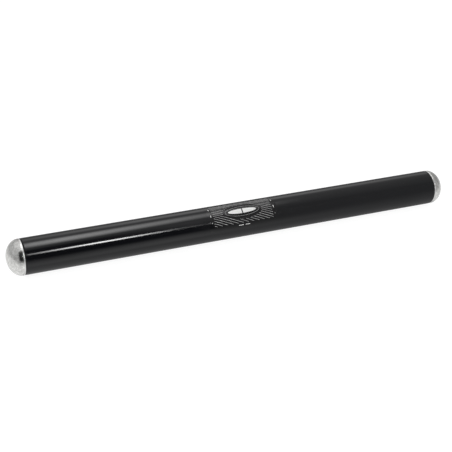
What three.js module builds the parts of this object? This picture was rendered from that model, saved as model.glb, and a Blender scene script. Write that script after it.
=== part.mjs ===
// Centre stick of a devil stick set: a glossy black aluminium tube with a domed aluminium cap in each end.
// Millimetres. The stick lies along X, +Z is up, and the origin is the balance point on the stick's axis.
import * as THREE from 'three';

// ---------------------------------------------------------------- driving dimensions
const TUBE_DIAMETER = 40;
const TUBE_WALL = 1.5;
const BLACK_LENGTH = 500; // between the two domes: the tube and one gasket at each end
const DOME_HEIGHT = 16.6; // from the dome's seat to its tip, with the shoulder
const SHOULDER_LENGTH = 1.4;
const GASKET_THICKNESS = 0.9;
const GASKET_SETBACK = 0.3; // how far the gasket's rim sits inside the tube's surface
const SPIGOT_LENGTH = 14; // the part of the cap inside the gasket and the tube
const SPIGOT_CLEARANCE = 0.2;
const LABEL_LENGTH = 84;
const LABEL_FILM = 0.1;
const PLUG_LENGTH = 40;
const PLUG_HOLE_DEPTH = 31;
const TUBE_EDGE_CHAMFER = 0.4;
const STUD_DIAMETER = 8; // an M8 x 50 hanger bolt: a machine thread in the dome and a wood thread in the plug
const MACHINE_THREAD = { turns: 14, pitch: 1.25, root: 3.3 };
const WOOD_THREAD = { turns: 8, pitch: 3, root: 2.9 };
const SHANK_LENGTH = 3;
const STUD_POINT_LENGTH = 5;
const STUD_CHAMFER = 0.5;

// ---------------------------------------------------------------- facets
const SEGMENTS = 48; // a multiple of 4, so that a flat facet faces straight down and the stick rests on it
const STUD_SEGMENTS = 12;
const DOME_STEPS = 12;
const RING_STEPS = 10;
const FACET_ANGLE = (2 * Math.PI) / SEGMENTS;

// ---------------------------------------------------------------- derived sizes
const tubeRadius = TUBE_DIAMETER / 2;
const boreRadius = tubeRadius - TUBE_WALL;
const seat = BLACK_LENGTH / 2; // distance from the centre to each dome's seat
const contactGap = 0.05;
const tubeEnd = seat - GASKET_THICKNESS - 2 * contactGap;
const spigotRadius = boreRadius - SPIGOT_CLEARANCE;

const ringRadius = 0.8; // half of the O-ring's cord thickness
const ringCentre = boreRadius - ringRadius - 0.1;
const grooveFloor = ringCentre - ringRadius - 0.1;
const grooveHalfWidth = 1.1;
const groovePlace = -7;

const skirtThickness = 3.3;
const bossRadius = 8;
const cavityTop = 3.5; // how far the casting's hollow reaches past the seat, towards the tip
const threadedHoleTop = 7;
const drillPointLength = 2;
const holeRadius = STUD_DIAMETER / 2 + 0.15;

const plugRadius = boreRadius - 0.2;
const plugEnd = -SPIGOT_LENGTH - 0.5;
const plugChamfer = 1;

const labelGap = 0.03; // the adhesive under the film
const labelFacets = 14;
const labelMiddleAngle = 6.5 * FACET_ANGLE; // from the front of the stick (-Y) up towards the top (+Z)

// ---------------------------------------------------------------- materials
const finish = (color, roughness, metalness) =>
  new THREE.MeshStandardMaterial({ color, roughness, metalness });

const blackLacquer = finish(0x141416, 0.12, 0.0);
const castAluminium = finish(0xc9cac8, 0.38, 1.0);
const blackRubber = finish(0x0d0d0d, 0.8, 0.0);
const printedFilm = finish(0x1b1b1d, 0.18, 0.0);
const beech = finish(0xc79a66, 0.7, 0.0);
const zincSteel = finish(0xa8abb0, 0.3, 1.0);

// ---------------------------------------------------------------- geometry helpers
// Turns a profile of [along the axis, radius] pairs about the X axis. The radii are those of the flats, and the
// first facet starts half a facet round, so that there is a flat at the top, the bottom, the front and the back.
function turned(profile, segments = SEGMENTS) {
  const toCorner = 1 / Math.cos(Math.PI / segments);
  const points = profile.map(([along, radius]) => new THREE.Vector2(radius * toCorner, along));
  const geometry = new THREE.LatheGeometry(points, segments, Math.PI / segments, 2 * Math.PI);
  return geometry.rotateZ(-Math.PI / 2);
}

const closed = (profile) => [...profile, profile[0]];

// ---------------------------------------------------------------- the tube
function tubeGeometry() {
  const edge = TUBE_EDGE_CHAMFER;
  return turned(closed([
    [-tubeEnd, boreRadius],
    [-tubeEnd, tubeRadius - edge],
    [-tubeEnd + edge, tubeRadius],
    [tubeEnd - edge, tubeRadius],
    [tubeEnd, tubeRadius - edge],
    [tubeEnd, boreRadius],
  ]));
}

// ---------------------------------------------------------------- the printed film round the middle
// A strip of film bent to the tube's own facets. Its outline is drawn in the tube's cross-section, with the
// front of the stick to the right, and pushed out along the stick.
function labelGeometry() {
  const toCorner = 1 / Math.cos(FACET_ANGLE / 2);
  const inner = (tubeRadius + labelGap) * toCorner;
  const outer = (tubeRadius + labelGap + LABEL_FILM) * toCorner;
  const start = labelMiddleAngle - (labelFacets / 2) * FACET_ANGLE;
  const corner = (radius, index) => {
    const angle = start + index * FACET_ANGLE;
    return new THREE.Vector2(radius * Math.cos(angle), radius * Math.sin(angle));
  };
  const outline = [];
  for (let index = 0; index <= labelFacets; index += 1) outline.push(corner(outer, index));
  for (let index = labelFacets; index >= 0; index -= 1) outline.push(corner(inner, index));
  const geometry = new THREE.ExtrudeGeometry(new THREE.Shape(outline), {
    depth: LABEL_LENGTH,
    bevelEnabled: false,
    curveSegments: 1,
  });
  geometry.translate(0, 0, -LABEL_LENGTH / 2);
  // drawing axes (front, up, along) become the stick's axes (-Y, +Z, -X)
  const toStick = new THREE.Matrix4().makeBasis(
    new THREE.Vector3(0, -1, 0),
    new THREE.Vector3(0, 0, 1),
    new THREE.Vector3(-1, 0, 0),
  );
  return geometry.applyMatrix4(toStick);
}

// ---------------------------------------------------------------- one end, seen from its dome's seat
// Every "along" below is measured from the seat outwards, so the pieces inside the tube are negative.
function domeGeometry() {
  const skirtInside = spigotRadius - skirtThickness;
  const profile = [
    [threadedHoleTop + drillPointLength, 0],
    [threadedHoleTop, holeRadius],
    [-SPIGOT_LENGTH, holeRadius],
    [-SPIGOT_LENGTH, bossRadius],
    [cavityTop, bossRadius + 0.5],
    [cavityTop, skirtInside - 0.5],
    [-SPIGOT_LENGTH, skirtInside],
    [-SPIGOT_LENGTH, spigotRadius - 0.5],
    [-SPIGOT_LENGTH + 0.5, spigotRadius],
    [groovePlace - grooveHalfWidth, spigotRadius],
    [groovePlace - grooveHalfWidth, grooveFloor],
    [groovePlace + grooveHalfWidth, grooveFloor],
    [groovePlace + grooveHalfWidth, spigotRadius],
    [0, spigotRadius],
    [0, tubeRadius - 0.25],
    [0.25, tubeRadius],
    [SHOULDER_LENGTH, tubeRadius],
  ];
  for (let step = 1; step <= DOME_STEPS; step += 1) {
    const turn = (step / DOME_STEPS) * (Math.PI / 2);
    const rise = (DOME_HEIGHT - SHOULDER_LENGTH) * Math.sin(turn);
    const radius = step === DOME_STEPS ? 0 : tubeRadius * Math.cos(turn);
    profile.push([SHOULDER_LENGTH + rise, radius]);
  }
  return turned(profile);
}

function gasketGeometry() {
  const outside = tubeRadius - GASKET_SETBACK;
  const inside = spigotRadius + 0.1;
  return turned(closed([
    [-contactGap - GASKET_THICKNESS, inside],
    [-contactGap - GASKET_THICKNESS, outside],
    [-contactGap, outside],
    [-contactGap, inside],
  ]));
}

function ringGeometry() {
  const profile = [];
  for (let step = 0; step < RING_STEPS; step += 1) {
    const turn = (step / RING_STEPS) * 2 * Math.PI;
    profile.push([groovePlace + ringRadius * Math.sin(turn), ringCentre + ringRadius * Math.cos(turn)]);
  }
  return turned(closed(profile));
}

function plugGeometry() {
  const inner = plugEnd - PLUG_LENGTH;
  return turned([
    [inner, 0],
    [inner, plugRadius - plugChamfer],
    [inner + plugChamfer, plugRadius],
    [plugEnd - plugChamfer, plugRadius],
    [plugEnd, plugRadius - plugChamfer],
    [plugEnd, holeRadius],
    [plugEnd - PLUG_HOLE_DEPTH, holeRadius],
    [plugEnd - PLUG_HOLE_DEPTH - drillPointLength, 0],
  ]);
}

// Rings that stand for the turns of a thread: each has a narrow flat at the root and a sharp crest.
function threadRings(from, { turns, pitch, root }) {
  const rings = [];
  for (let turn = 0; turn < turns; turn += 1) {
    const along = from + turn * pitch;
    rings.push([along, root], [along + 0.2 * pitch, root], [along + 0.6 * pitch, STUD_DIAMETER / 2]);
  }
  rings.push([from + turns * pitch, root]);
  return rings;
}

// The stud's plain shank crosses from the dome's boss into the plug, and its point is at the bottom.
function studGeometry() {
  const shankTop = (plugEnd - SPIGOT_LENGTH + SHANK_LENGTH) / 2;
  const shankBottom = shankTop - SHANK_LENGTH;
  const woodStart = shankBottom - WOOD_THREAD.turns * WOOD_THREAD.pitch;
  const top = shankTop + MACHINE_THREAD.turns * MACHINE_THREAD.pitch + STUD_CHAMFER;
  const crest = STUD_DIAMETER / 2;
  return turned([
    [woodStart - STUD_POINT_LENGTH, 0],
    ...threadRings(woodStart, WOOD_THREAD),
    [shankBottom + STUD_CHAMFER, crest],
    [shankTop - STUD_CHAMFER, crest],
    ...threadRings(shankTop, MACHINE_THREAD),
    [top, MACHINE_THREAD.root - STUD_CHAMFER],
    [top, 0],
  ], STUD_SEGMENTS);
}

// ---------------------------------------------------------------- assembly
function named(name, geometry, material) {
  const mesh = new THREE.Mesh(geometry, material);
  mesh.name = name;
  return mesh;
}

function endAssembly(side, direction) {
  const end = new THREE.Group();
  end.position.x = direction * seat;
  if (direction < 0) end.rotation.z = Math.PI;
  end.add(
    named(`${side}_dome`, domeGeometry(), castAluminium),
    named(`${side}_gasket`, gasketGeometry(), blackRubber),
    named(`${side}_o_ring`, ringGeometry(), blackRubber),
    named(`${side}_plug`, plugGeometry(), beech),
    named(`${side}_stud`, studGeometry(), zincSteel),
  );
  return end;
}

const stick = new THREE.Group();
stick.add(
  named('tube', tubeGeometry(), blackLacquer),
  named('centre_label', labelGeometry(), printedFilm),
  endAssembly('left', -1),
  endAssembly('right', 1),
);

export default stick;
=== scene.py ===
"""Looks for the centre stick of a devil stick set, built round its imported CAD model. Blender 4.5, metres."""
import math

import bmesh
import bpy
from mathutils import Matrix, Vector, noise


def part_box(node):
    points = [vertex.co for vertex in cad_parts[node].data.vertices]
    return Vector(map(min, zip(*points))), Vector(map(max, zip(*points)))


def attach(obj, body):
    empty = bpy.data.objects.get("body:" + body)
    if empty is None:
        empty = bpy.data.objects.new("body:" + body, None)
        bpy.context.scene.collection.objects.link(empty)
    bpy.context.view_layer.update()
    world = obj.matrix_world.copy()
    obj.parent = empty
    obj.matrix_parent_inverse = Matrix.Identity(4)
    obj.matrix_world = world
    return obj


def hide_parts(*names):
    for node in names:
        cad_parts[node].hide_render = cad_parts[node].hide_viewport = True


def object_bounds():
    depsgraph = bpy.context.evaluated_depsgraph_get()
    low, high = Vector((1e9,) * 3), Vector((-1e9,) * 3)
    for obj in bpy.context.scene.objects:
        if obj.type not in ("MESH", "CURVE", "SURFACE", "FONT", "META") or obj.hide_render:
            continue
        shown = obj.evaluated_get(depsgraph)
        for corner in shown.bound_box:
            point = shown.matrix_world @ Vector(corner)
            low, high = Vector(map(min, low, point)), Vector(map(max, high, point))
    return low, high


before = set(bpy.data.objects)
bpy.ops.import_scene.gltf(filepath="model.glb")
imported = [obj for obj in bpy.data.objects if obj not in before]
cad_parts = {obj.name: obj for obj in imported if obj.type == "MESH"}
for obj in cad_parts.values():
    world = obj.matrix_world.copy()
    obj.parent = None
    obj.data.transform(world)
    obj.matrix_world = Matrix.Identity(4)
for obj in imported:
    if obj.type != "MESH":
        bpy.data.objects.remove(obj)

CAD_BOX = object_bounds()
MM = 0.001

# ---------------------------------------------------------------- sizes from the frame
BODY = "root"
TUBE_LOW, TUBE_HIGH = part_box("tube")
TUBE_RADIUS = (TUBE_HIGH.z - TUBE_LOW.z) / 2
TUBE_END = TUBE_HIGH.x
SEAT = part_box("right_gasket")[1].x  # where a dome's shoulder meets its gasket
DOME_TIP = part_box("right_dome")[1].x
SPIGOT_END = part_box("right_dome")[0].x
LABEL_HALF_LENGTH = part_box("centre_label")[1].x

# ---------------------------------------------------------------- sizes that the frame's boxes don't show
TUBE_WALL = 1.5 * MM
TUBE_EDGE_ROUND = 0.7 * MM
GASKET_SETBACK = 0.3 * MM
SHOULDER_LENGTH = 1.4 * MM
SHOULDER_GROOVE = 0.14 * MM  # the fine groove between a dome's shoulder and its rounded part
BORE_RADIUS = TUBE_RADIUS - TUBE_WALL
BORE_CLEARANCE = 0.2 * MM  # round a dome's skirt, and round a plug
SPIGOT_RADIUS = BORE_RADIUS - BORE_CLEARANCE
SKIRT_THICKNESS = 3.3 * MM
BOSS_RADIUS = 8 * MM
STUD_HOLE_RADIUS = 4.15 * MM
DRILL_POINT = 2 * MM
O_RING_PLACE = SEAT - 7 * MM
O_RING_CORD_RADIUS = 0.85 * MM

STUD_CREST = 4.0 * MM
STUD_POINT = 5 * MM
SHANK_START, SHANK_END = 18 * MM, 21 * MM  # the stud's plain shank, from its outer end
MACHINE_PITCH, MACHINE_ROOT = 1.25 * MM, 3.3 * MM
WOOD_PITCH, WOOD_ROOT = 3.0 * MM, 2.9 * MM

# ---------------------------------------------------------------- the label and its print
# Angles go from the front up towards the top. The print's heights and half arcs are measured round the tube.
LABEL_MIDDLE = math.radians(48.75)
LABEL_HALF_ANGLE = math.radians(52.5)
LABEL_CORNER = 3 * MM
FILM_BOTTOM = TUBE_RADIUS + 0.012 * MM
FILM_TOP = TUBE_RADIUS + 0.12 * MM
FILM_EDGE_DROP = 0.05 * MM
INK_BOTTOM = FILM_TOP - 0.01 * MM
INK_TOP = FILM_TOP + 0.014 * MM

PANEL_MIDDLE = math.radians(53.5)
PANEL_HALF_LENGTH = 36 * MM
PANEL_HALF_ARC = 13.8 * MM
HATCH_PITCH = 2.6 * MM
HATCH_SLOPE = math.radians(-24)
HATCH_HALF_WIDTH = 0.24 * MM
WINDOW_HALF_LENGTH = 23.5 * MM
WINDOW_HALF_ARC = 9.6 * MM
RING_HALF_LENGTH = 20.5 * MM
RING_HALF_ARC = 5.8 * MM
RING_HALF_WIDTH = 0.14 * MM
OVAL_HALF_LENGTH = 17 * MM
OVAL_HALF_ARC = 2.9 * MM
OVAL_HALF_SPLIT = 0.7 * MM
MARK_GAP = 2.3 * MM
# each dash beside the panel: its height, half length and half width in millimetres
SIDE_MARKS = ((-9, 0.6, 0.14), (-0.7, 1.3, 0.33), (8.2, 1.1, 0.38))
DASH_DROP = 2.5 * MM
DASH_MIDDLE = 3.9 * MM
DASH_HALF_LENGTH = 2.7 * MM
DASH_HALF_WIDTH = 0.34 * MM

# ---------------------------------------------------------------- fineness of the meshes
TUBE_SEGMENTS = 288
DOME_SEGMENTS = 320
O_RING_SEGMENTS = 160
PLUG_SEGMENTS = 128
SHARP_ANGLE = math.radians(40)


# ---------------------------------------------------------------- mesh helpers
def make_object(name, bm):
    """Turns a bmesh into an object of its own, shaded smooth except across sharp edges."""
    bmesh.ops.recalc_face_normals(bm, faces=bm.faces)
    mesh = bpy.data.meshes.new(name)
    bm.to_mesh(mesh)
    bm.free()
    mesh.polygons.foreach_set("use_smooth", [True] * len(mesh.polygons))
    mesh.set_sharp_from_angle(angle=SHARP_ANGLE)
    piece = bpy.data.objects.new(name, mesh)
    bpy.context.scene.collection.objects.link(piece)
    return piece


def on_stick(along, radius, angle):
    """A point from its distance along the stick, its radius, and its angle from the front over the top."""
    return Vector((along, -radius * math.cos(angle), radius * math.sin(angle)))


def turned(name, profile, segments, closes=False):
    """A body turned about the stick's axis from (along, radius) points, which start and end on the axis or
    close on themselves."""
    bm = bmesh.new()
    turn = 2 * math.pi / segments
    rings = []
    for along, radius in profile:
        around = range(segments) if radius > 0 else range(1)
        rings.append([bm.verts.new(on_stick(along, radius, turn * k)) for k in around])
    pairs = list(zip(rings, rings[1:]))
    if closes:
        pairs.append((rings[-1], rings[0]))
    for near, far in pairs:
        for k in range(segments):
            after = (k + 1) % segments
            corners = [near[k % len(near)], far[k % len(far)], far[after % len(far)], near[after % len(near)]]
            bm.faces.new(list(dict.fromkeys(corners)))
    return make_object(name, bm)


def arc(along, radius, size, start, end, steps=6):
    """Profile points on a quarter round or other arc: 0 degrees points along +X, 90 away from the axis."""
    points = []
    for step in range(steps + 1):
        turn = math.radians(start + (end - start) * step / steps)
        points.append((along + size * math.cos(turn), radius + size * math.sin(turn)))
    return points


def add_sheet(bm, columns, rows, place):
    """A thin closed sheet. Its points are place(u, v, top), where u and v go from -1 to 1 over the sheet."""
    grids = []
    for top in (False, True):
        grid = []
        for column in range(columns + 1):
            u = -1 + 2 * column / columns
            grid.append([bm.verts.new(place(u, -1 + 2 * row / rows, top)) for row in range(rows + 1)])
        grids.append(grid)
        for near, far in zip(grid, grid[1:]):
            for row in range(rows):
                bm.faces.new((near[row], near[row + 1], far[row + 1], far[row]))
    lower, upper = grids
    border = [(0, row) for row in range(rows)] + [(column, rows) for column in range(columns)]
    border += [(columns, rows - row) for row in range(rows)]
    border += [(columns - column, 0) for column in range(columns)]
    for (c0, r0), (c1, r1) in zip(border, border[1:] + border[:1]):
        bm.faces.new((upper[c0][r0], upper[c1][r1], lower[c1][r1], lower[c0][r0]))


def mirrored(profile, side):
    """The same profile for the left end (side -1) or the right end (side 1)."""
    return [(side * along, radius) for along, radius in profile]


def fit(piece, material, *nodes, slot=None):
    """Gives a piece its material and its body, and hides the CAD nodes that it stands for. The slot is not
    used.
    """
    if material:
        piece.data.materials.append(material)
    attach(piece, BODY)
    if nodes:
        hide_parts(*nodes)
    return piece


# ---------------------------------------------------------------- node helpers
def node(tree, kind, inputs=None, **settings):
    """Adds a shader node with its settings; an input is a value or another node's output."""
    made = tree.nodes.new("ShaderNode" + kind)
    for key, value in settings.items():
        setattr(made, key, value)
    for key, value in (inputs or {}).items():
        if isinstance(value, bpy.types.NodeSocket):
            tree.links.new(value, made.inputs[key])
        else:
            made.inputs[key].default_value = value
    return made


def start_material(name, **constants):
    """A new material, its node tree, its shader with those constants, and a position in millimetres."""
    material = bpy.data.materials.new(name)
    material.use_nodes = True
    tree = material.node_tree
    shader = tree.nodes["Principled BSDF"]
    for key, value in constants.items():
        shader.inputs[key.replace("_", " ")].default_value = value
    place = node(tree, "TexCoord").outputs["Object"]
    return material, tree, shader, stretched(tree, place, (1000, 1000, 1000))


def stretched(tree, place, scale, turn=(0, 0, 0)):
    """A position scaled along each axis, and turned."""
    return node(tree, "Mapping", {"Vector": place, "Scale": scale, "Rotation": turn}).outputs["Vector"]


def grain(tree, place, scale, detail=3.0, rough=0.5):
    """Noise from 0 to 1, with scale in features for each unit of place."""
    inputs = {"Vector": place, "Scale": scale, "Detail": detail, "Roughness": rough}
    return node(tree, "TexNoise", inputs).outputs["Fac"]


def remap(tree, value, low, high, to_low=0.0, to_high=1.0, smooth=False):
    """A value's range from low to high, spread over another range and held at its ends."""
    inputs = {"Value": value, "From Min": low, "From Max": high, "To Min": to_low, "To Max": to_high}
    kind = "SMOOTHSTEP" if smooth else "LINEAR"
    return node(tree, "MapRange", inputs, interpolation_type=kind).outputs["Result"]


def math_node(tree, operation, first, second=0.0, third=0.0):
    """One Math node; each operand is a number or another node's output."""
    made = node(tree, "Math", operation=operation)
    for socket, value in zip(made.inputs, (first, second, third)):
        if isinstance(value, bpy.types.NodeSocket):
            tree.links.new(value, socket)
        else:
            socket.default_value = value
    return made.outputs[0]


def blend_colors(tree, share, first, second):
    """The first colour where share is 0, the second where it is 1."""
    made = node(tree, "Mix", data_type="RGBA")
    tree.links.new(share, made.inputs["Factor"])
    for key, value in (("A", first), ("B", second)):
        socket = [s for s in made.inputs if s.name == key and s.type == "RGBA"][0]
        if isinstance(value, bpy.types.NodeSocket):
            tree.links.new(value, socket)
        else:
            socket.default_value = (*value, 1.0)
    return [s for s in made.outputs if s.type == "RGBA"][0]


def bump(tree, height, distance_mm, below=None):
    """A bump of that many millimetres, on top of the bump below."""
    inputs = {"Height": height, "Distance": distance_mm * MM, "Strength": 1.0}
    if below:
        inputs["Normal"] = below
    return node(tree, "Bump", inputs).outputs["Normal"]


def specks(tree, place, per_mm, size, share):
    """Small round spots: per_mm cells for each millimetre, a spot's size in cells, in a share of them."""
    inputs = {"Vector": place, "Scale": per_mm, "Randomness": 1.0}
    cells = node(tree, "TexVoronoi", inputs, voronoi_dimensions="3D", feature="F1")
    spot = remap(tree, cells.outputs["Distance"], size, 0.35 * size, smooth=True)
    chance = node(tree, "SeparateColor", {"Color": cells.outputs["Color"]}).outputs["Red"]
    chosen = math_node(tree, "LESS_THAN", chance, share)
    return math_node(tree, "MULTIPLY", spot, chosen)


def hairlines(tree, place, turn, density):
    """Fine scratches as thin ridges of a long stretched noise, from 0 to 1."""
    lines = grain(tree, stretched(tree, place, (0.035, 3.2, 3.2), turn), 1.0, detail=2.0)
    off_ridge = math_node(tree, "ABSOLUTE", math_node(tree, "SUBTRACT", lines, 0.5))
    return remap(tree, off_ridge, density, 0.0)


# ---------------------------------------------------------------- materials
def gloss_black(name, base, rough, peel_mm):
    """Black lacquer on a drawn tube: orange peel, faint lines along it, hairlines, smudges and dust."""
    material, tree, shader, place = start_material(name, IOR=1.42, Metallic=0.0)
    smudge = grain(tree, place, 0.045, detail=4.0, rough=0.6)
    draw = grain(tree, stretched(tree, place, (0.012, 2.4, 2.4)), 1.0, detail=3.0)
    scratch = math_node(
        tree, "MAXIMUM",
        hairlines(tree, place, (0.0, 0.30, 0.85), 0.006),
        hairlines(tree, place, (0.5, -0.2, -0.35), 0.004),
    )
    dust = specks(tree, place, 0.22, 0.045, 0.30)
    colour = blend_colors(tree, smudge, base, [1.35 * c for c in base])
    colour = blend_colors(tree, math_node(tree, "MULTIPLY", dust, 0.35), colour, (0.20, 0.20, 0.19))
    tree.links.new(colour, shader.inputs["Base Color"])
    roughness = remap(tree, smudge, 0.35, 0.7, rough, 1.7 * rough)
    roughness = math_node(tree, "MULTIPLY_ADD", draw, 0.02, roughness)
    roughness = math_node(tree, "MULTIPLY_ADD", scratch, 0.16, roughness)
    roughness = math_node(tree, "MULTIPLY_ADD", dust, 0.5, roughness)
    tree.links.new(roughness, shader.inputs["Roughness"])
    peel = bump(tree, grain(tree, place, 0.42, detail=1.0), peel_mm)
    lines = bump(tree, draw, 0.0012, peel)
    marks = bump(tree, math_node(tree, "SUBTRACT", dust, scratch), 0.0015, lines)
    tree.links.new(marks, shader.inputs["Normal"])
    return material


def cast_aluminium():
    """Tumbled cast aluminium: a satin skin with fine grain, soft mottling and small open pits."""
    material, tree, shader, place = start_material("cast_aluminium", Metallic=1.0)
    mottle = grain(tree, place, 0.30, detail=3.0, rough=0.6)
    skin = grain(tree, place, 0.95, detail=5.0, rough=0.72)
    large_pits = specks(tree, place, 0.62, 0.34, 0.50)
    pits = math_node(tree, "MAXIMUM", large_pits, specks(tree, place, 1.7, 0.34, 0.45))
    shade = math_node(tree, "MULTIPLY_ADD", mottle, 0.4, math_node(tree, "MULTIPLY", skin, 0.6))
    colour = blend_colors(tree, remap(tree, shade, 0.38, 0.62), (0.54, 0.54, 0.525), (0.87, 0.87, 0.855))
    colour = blend_colors(tree, math_node(tree, "MULTIPLY", pits, 0.68), colour, (0.24, 0.24, 0.225))
    tree.links.new(colour, shader.inputs["Base Color"])
    roughness = remap(tree, skin, 0.3, 0.7, 0.10, 0.19)
    roughness = math_node(tree, "MULTIPLY_ADD", pits, 0.22, roughness)
    tree.links.new(roughness, shader.inputs["Roughness"])
    body = bump(tree, mottle, 0.03)
    fine = bump(tree, skin, 0.004, body)
    hollows = bump(tree, math_node(tree, "MULTIPLY", pits, -1.0), 0.012, fine)
    tree.links.new(hollows, shader.inputs["Normal"])
    return material


def turned_aluminium():
    """A band cut on the lathe: bright, with fine rings round it."""
    material, tree, shader, place = start_material("turned_aluminium", Metallic=1.0)
    along = node(tree, "SeparateXYZ", {"Vector": place}).outputs["X"]
    inputs = {"W": along, "Scale": 9.0, "Detail": 4.0}
    cuts = node(tree, "TexNoise", inputs, noise_dimensions="1D").outputs["Fac"]
    wear = grain(tree, place, 0.8, detail=4.0)
    colour = blend_colors(tree, wear, (0.82, 0.82, 0.81), (0.92, 0.92, 0.91))
    tree.links.new(colour, shader.inputs["Base Color"])
    roughness = remap(tree, cuts, 0.3, 0.7, 0.31, 0.39)
    roughness = math_node(tree, "MULTIPLY_ADD", wear, 0.08, roughness)
    tree.links.new(roughness, shader.inputs["Roughness"])
    tree.links.new(bump(tree, cuts, 0.002), shader.inputs["Normal"])
    return material


def black_rubber():
    """Moulded rubber with a fine skin and a faint pale bloom."""
    material, tree, shader, place = start_material("black_rubber", Metallic=0.0, IOR=1.5)
    bloom = grain(tree, place, 0.5, detail=4.0)
    texture = grain(tree, place, 6.0, detail=3.0)
    colour = blend_colors(tree, bloom, (0.006, 0.006, 0.006), (0.016, 0.016, 0.016))
    tree.links.new(colour, shader.inputs["Base Color"])
    tree.links.new(remap(tree, texture, 0.3, 0.7, 0.62, 0.85), shader.inputs["Roughness"])
    tree.links.new(bump(tree, texture, 0.01), shader.inputs["Normal"])
    return material


def beech_wood():
    """Beech with growth rings across the plug, fine pores along it and short dark flecks."""
    material, tree, shader, place = start_material("beech_wood", Metallic=0.0)
    wander = grain(tree, place, 0.05, detail=2.0)
    height = node(tree, "SeparateXYZ", {"Vector": place}).outputs["Z"]
    across = math_node(tree, "MULTIPLY_ADD", wander, 9.0, height)
    rings = math_node(tree, "PINGPONG", across, 1.2)
    pores = grain(tree, stretched(tree, place, (0.25, 4.0, 4.0)), 1.0, detail=4.0)
    flecks = specks(tree, stretched(tree, place, (0.25, 1.0, 1.0)), 1.4, 0.3, 0.35)
    colour = blend_colors(tree, remap(tree, rings, 0.0, 1.2), (0.62, 0.40, 0.22), (0.74, 0.53, 0.33))
    colour = blend_colors(tree, math_node(tree, "MULTIPLY", flecks, 0.6), colour, (0.36, 0.20, 0.10))
    tree.links.new(colour, shader.inputs["Base Color"])
    tree.links.new(remap(tree, pores, 0.3, 0.7, 0.5, 0.75), shader.inputs["Roughness"])
    tree.links.new(bump(tree, pores, 0.03), shader.inputs["Normal"])
    return material


def zinc_steel():
    """Bright zinc plating with cloudy patches."""
    material, tree, shader, place = start_material("zinc_steel", Metallic=1.0)
    bloom = grain(tree, place, 0.6, detail=5.0)
    fine = grain(tree, place, 5.0, detail=3.0)
    colour = blend_colors(tree, bloom, (0.58, 0.60, 0.63), (0.72, 0.73, 0.74))
    tree.links.new(colour, shader.inputs["Base Color"])
    tree.links.new(remap(tree, bloom, 0.3, 0.7, 0.22, 0.42), shader.inputs["Roughness"])
    tree.links.new(bump(tree, fine, 0.004), shader.inputs["Normal"])
    return material


def screen_ink(name, base, thin):
    """Screen-printed ink: matt, a little uneven, with small gaps where thin is above 0."""
    material, tree, shader, place = start_material(name, Metallic=0.0, IOR=1.45)
    uneven = grain(tree, place, 0.9, detail=4.0)
    mesh_marks = grain(tree, place, 5.0, detail=2.0)
    gaps = remap(tree, mesh_marks, 0.62, 0.75, 0.0, thin)
    colour = blend_colors(tree, uneven, [0.90 * c for c in base], base)
    colour = blend_colors(tree, gaps, colour, (0.02, 0.02, 0.02))
    tree.links.new(colour, shader.inputs["Base Color"])
    tree.links.new(remap(tree, mesh_marks, 0.3, 0.7, 0.32, 0.5), shader.inputs["Roughness"])
    tree.links.new(bump(tree, mesh_marks, 0.003), shader.inputs["Normal"])
    return material


# ---------------------------------------------------------------- the tube
def build_tube(material):
    """The tube with rounded rims, its bore, and rows along it that keep its shading level up to the rims."""
    inner_edge = 0.25 * MM
    run = TUBE_END - TUBE_EDGE_ROUND
    rim = arc(run, TUBE_RADIUS - TUBE_EDGE_ROUND, TUBE_EDGE_ROUND, 90, 0)
    rim += arc(TUBE_END - inner_edge, BORE_RADIUS + inner_edge, inner_edge, 0, -90, 3)
    near_rim = [(run - distance * MM, TUBE_RADIUS) for distance in (1.5, 0.4, 0.08)]
    rows = 24
    middle = [(-run + 2 * run * k / rows, TUBE_RADIUS) for k in range(1, rows)]
    left = mirrored(rim[::-1], -1) + mirrored(near_rim[::-1], -1)
    piece = turned("tube_body", left + middle + near_rim + rim, TUBE_SEGMENTS, closes=True)
    return fit(piece, material, "tube", slot="black_tube")


# ---------------------------------------------------------------- the domes
def inner_dome_profile():
    """The part of the right dome's section inside the tube: the stud's hole, the boss and the skirt."""
    hole_bottom = SEAT + 7 * MM
    cavity = SEAT + 3.5 * MM
    skirt_inside = SPIGOT_RADIUS - SKIRT_THICKNESS
    groove_half_width = 1.1 * MM
    groove_start, groove_end = O_RING_PLACE - groove_half_width, O_RING_PLACE + groove_half_width
    groove_floor = BORE_RADIUS - 1.8 * MM
    fillet = 0.6 * MM
    profile = [(hole_bottom + DRILL_POINT, 0), (hole_bottom, STUD_HOLE_RADIUS)]
    profile += [(SPIGOT_END + fillet, STUD_HOLE_RADIUS), (SPIGOT_END, STUD_HOLE_RADIUS + fillet)]
    profile += [(SPIGOT_END, BOSS_RADIUS - fillet)]
    profile += arc(SPIGOT_END + fillet, BOSS_RADIUS - fillet, fillet, 180, 90, 4)
    profile += arc(cavity - 2 * fillet, BOSS_RADIUS + 2 * fillet, 2 * fillet, -90, 0, 4)
    profile += arc(cavity - 2 * fillet, skirt_inside - 2 * fillet, 2 * fillet, 0, 90, 4)
    profile += [(SPIGOT_END, skirt_inside), (SPIGOT_END, SPIGOT_RADIUS - fillet)]
    profile += arc(SPIGOT_END + fillet, SPIGOT_RADIUS - fillet, fillet, 180, 90, 4)
    profile += [(groove_start, SPIGOT_RADIUS), (groove_start, groove_floor)]
    profile += [(groove_end, groove_floor), (groove_end, SPIGOT_RADIUS)]
    return profile


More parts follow.
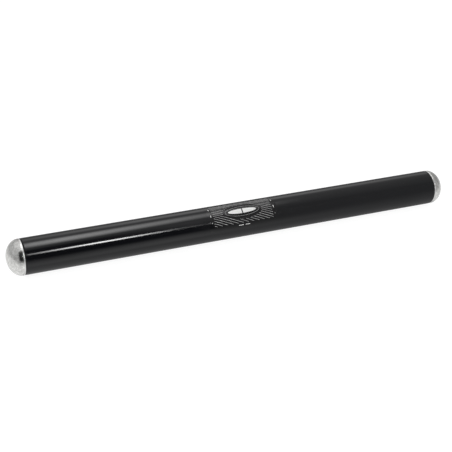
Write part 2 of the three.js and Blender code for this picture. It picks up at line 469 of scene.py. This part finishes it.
def outer_dome_profile():
    """The part of the right dome's section that shows: the shoulder, its fine groove and the dome."""
    corner = 0.25 * MM
    hold = 0.05 * MM  # a row this close to an edge keeps the shading level up to it
    shoulder_end = SEAT + SHOULDER_LENGTH
    groove_edge = shoulder_end - SHOULDER_GROOVE
    profile = [(SEAT, SPIGOT_RADIUS), (SEAT, TUBE_RADIUS - corner)]
    profile += arc(SEAT + corner, TUBE_RADIUS - corner, corner, 180, 90, 4)[1:]
    profile += [(SEAT + corner + hold, TUBE_RADIUS), (groove_edge - hold, TUBE_RADIUS)]
    profile += [(groove_edge, TUBE_RADIUS), (shoulder_end, TUBE_RADIUS - SHOULDER_GROOVE)]
    base = shoulder_end + 0.06 * MM
    base_radius = TUBE_RADIUS - 0.3 * SHOULDER_GROOVE
    rows = 96
    for row in range(rows + 1):
        turn = math.pi / 2 * row / rows
        radius = base_radius * math.cos(turn) if row < rows else 0
        profile.append((base + (DOME_TIP - base) * math.sin(turn), radius))
    return profile


def roughen_dome(piece, side):
    """Shallow dents and pits of a tumbled casting on the domed surface, fading to nothing at its base."""
    start = SEAT + SHOULDER_LENGTH + 0.1 * MM
    fade_length = 1.5 * MM
    apart = Vector((40 * side, 0, 0))  # gives each dome its own dents
    normals = [vertex.normal.copy() for vertex in piece.data.vertices]
    for vertex, normal in zip(piece.data.vertices, normals):
        if abs(vertex.co.x) < start:
            continue
        spot = vertex.co / MM + apart
        growth = min(1.0, (abs(vertex.co.x) - start) / fade_length)
        swell = noise.noise(0.16 * spot) * 0.05
        dents = max(0.0, noise.noise(0.62 * spot + Vector((9, 3, 5))) - 0.22) * 0.10
        pits = max(0.0, noise.noise(1.5 * spot + Vector((2, 7, 1))) - 0.38) * 0.16
        vertex.co -= normal * ((dents + pits + swell) * growth * MM)


def build_dome(side, name, cast, machined):
    """A dome in one piece with its skirt: cast outside, machined from its shoulder inwards."""
    profile = inner_dome_profile() + outer_dome_profile()
    piece = turned(f"{name}_cap", mirrored(profile, side), DOME_SEGMENTS)
    roughen_dome(piece, side)
    piece.data.materials.append(cast)
    piece.data.materials.append(machined)
    shoulder_end = SEAT + SHOULDER_LENGTH + 0.01 * MM
    for face in piece.data.polygons:
        if abs(face.center.x) < shoulder_end:
            face.material_index = 1
    return fit(piece, None, f"{name}_dome", slot="cast_dome")


# ---------------------------------------------------------------- the small pieces at each end
def build_gasket(side, name, rubber):
    """A flat ring squeezed between shoulder and tube, its rim a little rounded and set back."""
    rim = 0.3 * MM
    outside = TUBE_RADIUS - GASKET_SETBACK
    inside = SPIGOT_RADIUS + 0.08 * MM
    profile = [(TUBE_END, inside)]
    profile += arc(TUBE_END + rim, outside - rim, rim, 180, 90, 4)
    profile += arc(SEAT - rim, outside - rim, rim, 90, 0, 4)
    profile += [(SEAT, inside)]
    piece = turned(f"{name}_seam_ring", mirrored(profile, side), TUBE_SEGMENTS, closes=True)
    return fit(piece, rubber, f"{name}_gasket", slot="rubber")


def build_o_ring(side, name, rubber):
    """The round ring in the skirt's groove, just clear of the bore."""
    bore_gap = 0.05 * MM
    middle_radius = BORE_RADIUS - O_RING_CORD_RADIUS - bore_gap
    profile = arc(O_RING_PLACE, middle_radius, O_RING_CORD_RADIUS, 0, 360, 20)[:-1]
    piece = turned(f"{name}_skirt_ring", mirrored(profile, side), O_RING_SEGMENTS, closes=True)
    return fit(piece, rubber, f"{name}_o_ring", slot="rubber")


def build_plug(side, name, wood):
    """A wooden plug with rounded edges and a blind hole for the stud."""
    low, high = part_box("right_plug")
    radius = BORE_RADIUS - BORE_CLEARANCE
    edge = 1.0 * MM
    hole_depth = 31 * MM
    hole_end = high.x - hole_depth
    profile = [(low.x, 0), (low.x, radius - edge)]
    profile += arc(low.x + edge, radius - edge, edge, 180, 90, 5)[1:]
    profile += arc(high.x - edge, radius - edge, edge, 90, 0, 5)
    profile += [(high.x, STUD_HOLE_RADIUS), (hole_end, STUD_HOLE_RADIUS), (hole_end - DRILL_POINT, 0)]
    piece = turned(f"{name}_wood_plug", mirrored(profile, side), PLUG_SEGMENTS)
    return fit(piece, wood, f"{name}_plug", slot="beech")


def stud_radius(depth, turn, length):
    """The stud's radius at a depth from its outer end: machine thread, plain shank, wood thread, point."""
    if SHANK_START <= depth <= SHANK_END:
        return STUD_CREST
    pitch, root = (MACHINE_PITCH, MACHINE_ROOT) if depth < SHANK_START else (WOOD_PITCH, WOOD_ROOT)
    flank = 0.44  # a flank's share of the pitch
    phase = (depth / pitch - turn) % 1.0
    ridge = max(0.0, 1 - abs(phase - 0.5) / flank)
    radius = root + (STUD_CREST - root) * ridge
    run_out = min(1.0, abs(depth - SHANK_START) / MM, abs(depth - SHANK_END) / MM)
    radius = STUD_CREST + (radius - STUD_CREST) * run_out
    chamfer, end_share = 0.8 * MM, 0.86
    radius *= min(1.0, end_share + (1 - end_share) * depth / chamfer)
    if depth > length - STUD_POINT:
        radius *= max(0.0, (length - depth) / STUD_POINT)
    return radius


def build_stud(side, name, steel):
    """A hanger bolt with a true helical thread at each end, as a grid round the axis."""
    low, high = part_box("right_stud")
    length = high.x - low.x
    rows, segments = 400, 40
    bm = bmesh.new()
    outer = bm.verts.new(on_stick(side * high.x, 0, 0))
    rings = []
    for row in range(rows):
        depth = length * row / rows
        ring = []
        for k in range(segments):
            turn = k / segments
            radius = stud_radius(depth, turn, length)
            ring.append(bm.verts.new(on_stick(side * (high.x - depth), radius, side * 2 * math.pi * turn)))
        rings.append(ring)
    point = bm.verts.new(on_stick(side * low.x, 0, 0))
    for k in range(segments):
        after = (k + 1) % segments
        bm.faces.new((outer, rings[0][k], rings[0][after]))
        bm.faces.new((point, rings[-1][after], rings[-1][k]))
        for near, far in zip(rings, rings[1:]):
            bm.faces.new((near[k], far[k], far[after], near[after]))
    return fit(make_object(f"{name}_hanger_bolt", bm), steel, f"{name}_stud", slot="zinc_steel")


# ---------------------------------------------------------------- the label
def on_label(along, arc_height, radius):
    """A point of the print: along the stick, and a height measured round the tube from the panel's middle."""
    return on_stick(along, radius, PANEL_MIDDLE + arc_height / TUBE_RADIUS)


def film_point(u, v, top):
    """A point of the label's film: u from its lower edge to its upper one, v along the stick."""
    half_arc = LABEL_HALF_ANGLE * TUBE_RADIUS
    into_corner = max(0.0, half_arc * abs(u) - (half_arc - LABEL_CORNER))
    half = LABEL_HALF_LENGTH - LABEL_CORNER + math.sqrt(max(0.0, LABEL_CORNER**2 - into_corner**2))
    radius = FILM_TOP if top else FILM_BOTTOM
    if top and max(abs(u), abs(v)) == 1:
        radius -= FILM_EDGE_DROP
    return on_stick(half * v, radius, LABEL_MIDDLE + LABEL_HALF_ANGLE * u)


def build_film(material):
    """The label's film: a bent sheet with round corners, its edges pressed down a little."""
    bm = bmesh.new()
    columns, rows = 112, 28
    add_sheet(bm, columns, rows, film_point)
    return fit(make_object("label_film", bm), material, "centre_label", slot="printed_film")


def ink_strip(bm, route, half_widths):
    """A strip of ink along (along, height) points, about a hundredth of a millimetre proud of the film."""
    sections = []
    for index, (point, half) in enumerate(zip(route, half_widths)):
        before = route[max(index - 1, 0)]
        after = route[min(index + 1, len(route) - 1)]
        direction = (Vector(after) - Vector(before)).normalized()
        across = Vector((-direction.y, direction.x)) * half
        edges = [Vector(point) - across, Vector(point) + across]
        corners = [on_label(edge.x, edge.y, radius) for radius in (INK_BOTTOM, INK_TOP) for edge in edges]
        sections.append([bm.verts.new(corner) for corner in corners])
    for a, b in zip(sections, sections[1:]):
        for i, j in ((0, 1), (1, 3), (3, 2), (2, 0)):
            bm.faces.new((a[i], a[j], b[j], b[i]))
    for end in (sections[0], sections[-1]):
        bm.faces.new((end[0], end[1], end[3], end[2]))


def in_hatching(point):
    """True inside the panel's rectangle and outside its clear oval window."""
    along, height = point
    if abs(along) > PANEL_HALF_LENGTH or abs(height) > PANEL_HALF_ARC:
        return False
    return (along / WINDOW_HALF_LENGTH) ** 2 + (height / WINDOW_HALF_ARC) ** 2 > 1


def build_hatching(ink):
    """Sloping lines over the panel, broken by the clear window, and a thin oval line in the window."""
    direction = Vector((math.cos(HATCH_SLOPE), math.sin(HATCH_SLOPE)))
    across = Vector((-direction.y, direction.x))
    reach = math.hypot(PANEL_HALF_LENGTH, PANEL_HALF_ARC)
    step = 0.4 * MM
    shortest_run = 5  # points; a shorter piece of line is left out
    bm = bmesh.new()
    lines = int(reach / HATCH_PITCH)
    for line in range(-lines, lines + 1):
        start = across * (line * HATCH_PITCH) - direction * reach
        points = [start + direction * (step * k) for k in range(int(2 * reach / step))]
        run = []
        for point in points + [None]:
            if point is not None and in_hatching(point):
                run.append(tuple(point))
                continue
            if len(run) >= shortest_run:
                ink_strip(bm, run, [HATCH_HALF_WIDTH] * len(run))
            run = []
    ring_steps = 120
    turns = [2 * math.pi * k / ring_steps for k in range(ring_steps + 1)]
    ring = [(RING_HALF_LENGTH * math.cos(turn), RING_HALF_ARC * math.sin(turn)) for turn in turns]
    ink_strip(bm, ring, [RING_HALF_WIDTH] * len(ring))
    return fit(make_object("label_hatching", bm), ink)


def oval_point(side, u, v, top):
    """A point of the oval's half on one side: u from the gap to the tip, v across the oval."""
    turn = math.pi / 4 * (1 + u)
    along = OVAL_HALF_SPLIT + (OVAL_HALF_LENGTH - OVAL_HALF_SPLIT) * math.sin(turn)
    tip_half_arc = 0.02 * MM
    half = max(OVAL_HALF_ARC * math.cos(turn), tip_half_arc)
    return on_label(side * along, half * v, INK_TOP if top else INK_BOTTOM)


def build_emblem(ink):
    """A plain oval at the balance point, split by a narrow gap across the stick."""
    bm = bmesh.new()
    columns, rows = 60, 12
    for side in (-1, 1):
        add_sheet(bm, columns, rows, lambda u, v, top: oval_point(side, u, v, top))
    return fit(make_object("label_balance_oval", bm), ink)


def build_marks(ink):
    """Short plain dashes at the panel's sides and a pair of them below it."""
    bm = bmesh.new()
    steps = 6
    spread = [-1 + 2 * k / steps for k in range(steps + 1)]
    for side in (-1, 1):
        along = side * (PANEL_HALF_LENGTH + MARK_GAP)
        for height, half_length, half_width in SIDE_MARKS:
            route = [(along, (height + half_length * share) * MM) for share in spread]
            ink_strip(bm, route, [half_width * MM] * len(route))
        below = -PANEL_HALF_ARC - DASH_DROP
        route = [(side * (DASH_MIDDLE + DASH_HALF_LENGTH * share), below) for share in spread]
        ink_strip(bm, route, [DASH_HALF_WIDTH] * len(route))
    return fit(make_object("label_marks", bm), ink)


# ---------------------------------------------------------------- the studio
def build_floor():
    """A plain pale floor, softly lit from within like a light table, so that only a faint shadow shows."""
    half = 6.0
    bm = bmesh.new()
    corners = [(-half, -half), (half, -half), (half, half), (-half, half)]
    bm.faces.new([bm.verts.new((x, y, CAD_BOX[0].z)) for x, y in corners])
    floor = make_object("floor", bm)
    material, tree, shader, place = start_material("floor_paint", Roughness=0.9)
    speckle = grain(tree, place, 0.02, detail=3.0)
    colour = blend_colors(tree, speckle, (0.15, 0.15, 0.15), (0.17, 0.17, 0.17))
    tree.links.new(colour, shader.inputs["Base Color"])
    shader.inputs["Emission Color"].default_value = (1, 1, 1, 1)
    shader.inputs["Emission Strength"].default_value = 0.93
    floor.data.materials.append(material)
    floor.visible_glossy = False


def soft_range(tree, value, edges, smooth=True):
    """0 up to the first edge, rising to 1 at the second, 1 up to the third, falling to 0 at the fourth."""
    start, full, full_end, end = edges
    rise = remap(tree, value, start, full, smooth=smooth)
    fall = remap(tree, value, end, full_end, smooth=smooth)
    return math_node(tree, "MULTIPLY", rise, fall)


# Each patch of the studio: the four edges of its angle round the stick in degrees, from the front (0) over
# the top (90), and the four edges of the sideways share of its direction.
WALLS = 0.50  # the walls' brightness in light and reflections
# Each lamp comes with the brightness that it adds.
LAMPS = (
    # ceiling glow
    ((50, 90, 125, 160), (-1.10, -0.10, 0.15, 0.60), 0.30),
    # overhead softbox
    ((68, 90, 95, 117), (0.155, 0.177, 0.21, 0.412), 5.9),
    # back softbox
    ((124, 138, 143, 163), (0.08, 0.31, 0.37, 0.60), 0.85),
    # pale table
    ((-190, -150, -46, -8), (-1.30, -0.85, 0.0, 0.62), 0.42),
    # its brighter front, in two overlapping patches
    ((-56, -41, -33, -10), (-0.2, 0.1, 0.3, 0.5), 0.30),
    ((-48, -34, -18, -4), (0.22, 0.28, 0.32, 0.345), 0.18),
    # its right side
    ((-185, -150, -35, 5), (0.50, 0.62, 0.78, 1.10), 0.36),
    # narrow strip light
    ((26.8, 30.0, 33.5, 37.0), (0.172, 0.241, 0.246, 0.301), 42.0),
    # glow past the strip's end, and above it
    ((27, 31, 38, 48), (0.295, 0.322, 0.330, 0.340), 0.70),
    ((41, 50, 58, 74), (0.265, 0.305, 0.330, 0.342), 0.32),
)
# Each card or shade comes with the share of the walls' light that it keeps away.
CARDS = (
    # black card in front, and a shorter one above it
    ((-17, 2, 41, 43), (-0.64, -0.50, 0.334, 0.342), 0.96),
    ((41, 43, 52, 66), (-0.60, -0.42, 0.24, 0.32), 0.94),
    # grey wall in front, and to the right
    ((-17, 2, 52, 66), (-2.0, -1.9, 1.9, 2.0), 0.14),
    ((50, 70, 165, 166), (0.52, 0.62, 1.9, 2.0), 0.28),
    # shade under the stick
    ((-185, -150, -128, -62), (0.06, 0.18, 0.50, 0.62), 0.62),
    # shade behind it, on both sides of the place where the angle starts again
    ((-196, -195, -165, -135), (0.0, 0.15, 0.50, 0.62), 0.50),
    ((150, 162, 165, 166), (0.0, 0.15, 0.50, 0.62), 0.50),
)
SEAM_ABOVE = 165  # where the angle starts again, on the plain wall behind


def build_world():
    """White walls for the camera; for light and reflections, grey walls, soft lamps and black cards."""
    world = bpy.data.worlds.new("studio")
    bpy.context.scene.world = world
    world.use_nodes = True
    tree = world.node_tree
    direction = node(tree, "SeparateXYZ", {"Vector": node(tree, "TexCoord").outputs["Generated"]})
    sideways = direction.outputs["X"]
    toward_front = math_node(tree, "MULTIPLY", direction.outputs["Y"], -1.0)
    angle = math_node(tree, "DEGREES", math_node(tree, "ARCTAN2", direction.outputs["Z"], toward_front))
    angle = math_node(tree, "WRAP", angle, SEAM_ABOVE, SEAM_ABOVE - 360)

    def patch(angles, share):
        """1 inside the patch, falling to 0 past its edges."""
        across = soft_range(tree, sideways, share, smooth=False)
        return math_node(tree, "MULTIPLY", soft_range(tree, angle, angles), across)

    total = WALLS
    for angles, share, depth in CARDS:
        kept = math_node(tree, "MULTIPLY_ADD", patch(angles, share), -depth, 1.0)
        total = math_node(tree, "MULTIPLY", total, kept)
    for angles, share, brightness in LAMPS:
        total = math_node(tree, "MULTIPLY_ADD", patch(angles, share), brightness, total)
    seen = node(tree, "LightPath").outputs["Is Camera Ray"]
    strength = node(tree, "Mix", data_type="FLOAT")
    tree.links.new(seen, strength.inputs["Factor"])
    tree.links.new(total, strength.inputs["A"])
    strength.inputs["B"].default_value = 1.0
    background = tree.nodes["Background"]
    background.inputs["Color"].default_value = (1, 1, 1, 1)
    tree.links.new(strength.outputs["Result"], background.inputs["Strength"])


def build_key_light():
    """A broad soft lamp from the front left that lights the print and shows in no reflection."""
    lamp = bpy.data.lights.new("key_light", "AREA")
    lamp.shape = "DISK"
    lamp.size = 1.2
    lamp.energy = 9.0
    piece = bpy.data.objects.new("key_light", lamp)
    piece.location = (-0.5, -1.3, 1.5)
    piece.rotation_euler = (-piece.location).to_track_quat("-Z", "Y").to_euler()
    piece.visible_glossy = False
    piece.visible_camera = False
    bpy.context.scene.collection.objects.link(piece)


def build_camera():
    """A short telephoto from the front left, a little above the stick."""
    azimuth, elevation, distance = math.radians(-22.53), math.radians(24.8), 1.246
    aim = Vector((-0.01371, 0.00234, -0.0067))
    level = math.cos(elevation)
    back = Vector((math.sin(azimuth) * level, -math.cos(azimuth) * level, math.sin(elevation)))
    camera = bpy.data.cameras.new("camera")
    camera.lens = 86.85
    piece = bpy.data.objects.new("camera", camera)
    piece.location = aim + back * distance
    piece.rotation_euler = (-back).to_track_quat("-Z", "Y").to_euler()
    bpy.context.scene.collection.objects.link(piece)
    bpy.context.scene.camera = piece


# ---------------------------------------------------------------- everything together
def build_stick():
    """The materials, then each piece from them."""
    lacquer = gloss_black("black_lacquer", (0.0034, 0.0036, 0.0046), 0.055, 0.0030)
    film = gloss_black("black_film", (0.0038, 0.0039, 0.0045), 0.060, 0.0022)
    cast, machined = cast_aluminium(), turned_aluminium()
    rubber, wood, steel = black_rubber(), beech_wood(), zinc_steel()
    white = screen_ink("white_ink", (0.88, 0.88, 0.87), 0.10)
    grey = screen_ink("grey_ink", (0.385, 0.385, 0.385), 0.30)
    build_tube(lacquer)
    for side, name in ((-1, "left"), (1, "right")):
        build_dome(side, name, cast, machined)
        build_gasket(side, name, rubber)
        build_o_ring(side, name, rubber)
        build_plug(side, name, wood)
        build_stud(side, name, steel)
    build_film(film)
    build_hatching(grey)
    build_emblem(white)
    build_marks(white)


build_camera()
build_stick()
build_floor()
build_world()
build_key_light()
bpy.context.scene.view_settings.view_transform = "Standard"
bpy.context.view_layer.update()
